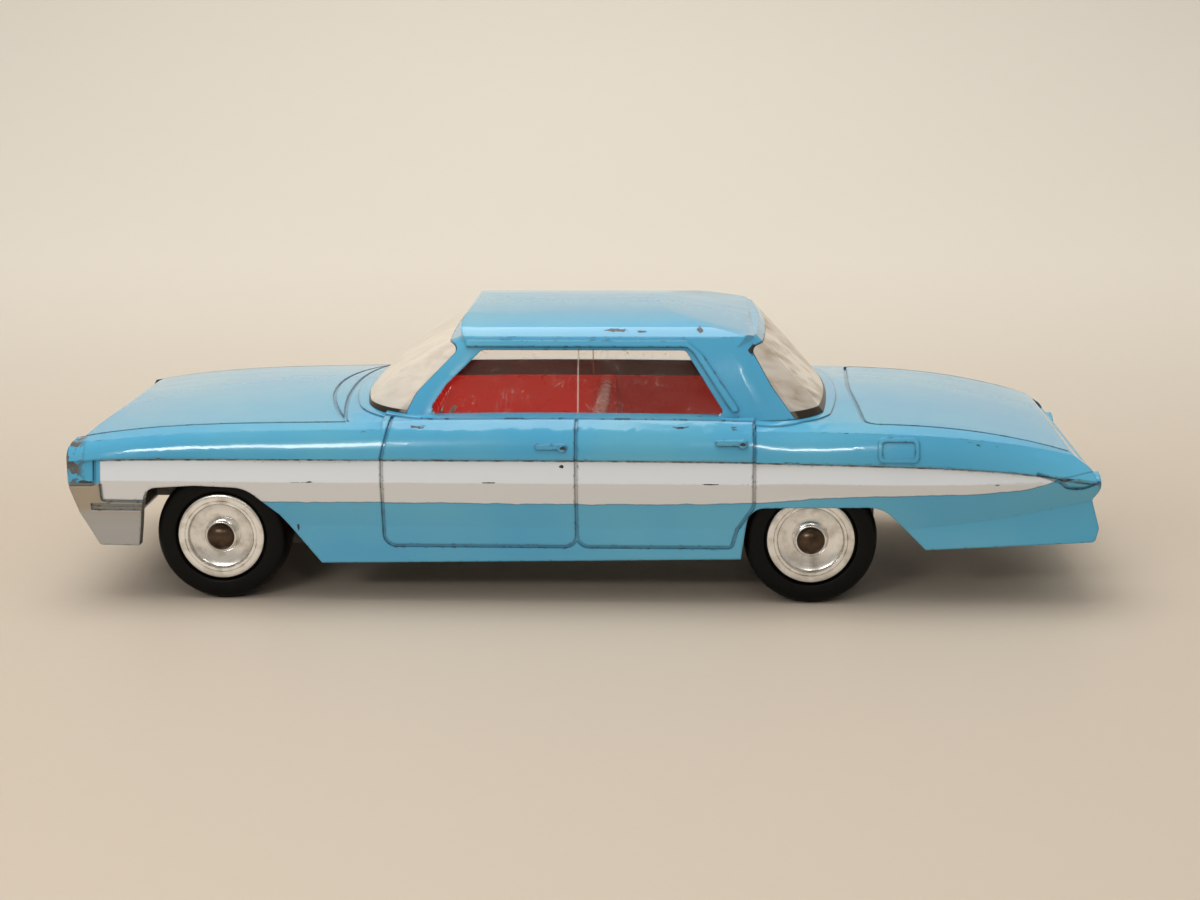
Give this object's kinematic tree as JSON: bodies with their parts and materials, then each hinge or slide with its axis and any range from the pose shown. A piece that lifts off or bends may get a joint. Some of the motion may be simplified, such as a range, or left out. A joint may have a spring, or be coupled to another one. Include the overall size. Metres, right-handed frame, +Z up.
{
  "type": "die-cast toy saloon car",
  "caption": "Die-cast toy of a long four-door hardtop saloon of about 1960, with clear windows, seats and free-rolling sprung wheels.",
  "frame": {"origin": "middle of the toy's length and width, on the surface its tyres stand on", "axes": "+X towards the tail along the length, -Y towards the car's left side, +Z up"},
  "size_m": [0.1083, 0.0388, 0.0298],
  "materials": {
    "body_enamel": "gloss stove enamel, chipped",
    "base_zinc": "bare grey zinc casting",
    "seat_plastic": "moulded red",
    "wheel_plastic": "moulded",
    "window_plastic": "clear moulded plastic, scratched",
    "axle_steel": "dulled steel",
    "spring_steel": "blued strip",
    "hub_aluminium": "turned bright",
    "tyre_rubber": "smooth rubber"
  },
  "bodies": {
    "body": {"body_casting": "body_enamel", "base_plate": "base_zinc", "interior_tray": "seat_plastic", "steering_wheel": "wheel_plastic", "glazing_unit": "window_plastic", "front_axle": "axle_steel", "rear_axle": "axle_steel", "front_spring": "spring_steel", "rear_spring": "spring_steel", "front_rivet": "base_zinc", "rear_rivet": "base_zinc"},
    "wheel_front_left": {"hub_front_left": "hub_aluminium", "tyre_front_left": "tyre_rubber"},
    "wheel_front_right": {"hub_front_right": "hub_aluminium", "tyre_front_right": "tyre_rubber"},
    "wheel_rear_left": {"hub_rear_left": "hub_aluminium", "tyre_rear_left": "tyre_rubber"},
    "wheel_rear_right": {"hub_rear_right": "hub_aluminium", "tyre_rear_right": "tyre_rubber"}
  },
  "joints": [
    {"name": "front_left_roll", "type": "hinge", "parent": "body", "child": "wheel_front_left", "pos_m": [-0.0381, -0.015, 0.007], "axis": [0, 1, 0], "continuous": true},
    {"name": "front_right_roll", "type": "hinge", "parent": "body", "child": "wheel_front_right", "pos_m": [-0.0381, 0.015, 0.007], "axis": [0, 1, 0], "continuous": true},
    {"name": "rear_left_roll", "type": "hinge", "parent": "body", "child": "wheel_rear_left", "pos_m": [0.0244, -0.015, 0.007], "axis": [0, 1, 0], "continuous": true},
    {"name": "rear_right_roll", "type": "hinge", "parent": "body", "child": "wheel_rear_right", "pos_m": [0.0244, 0.015, 0.007], "axis": [0, 1, 0], "continuous": true}
  ]
}
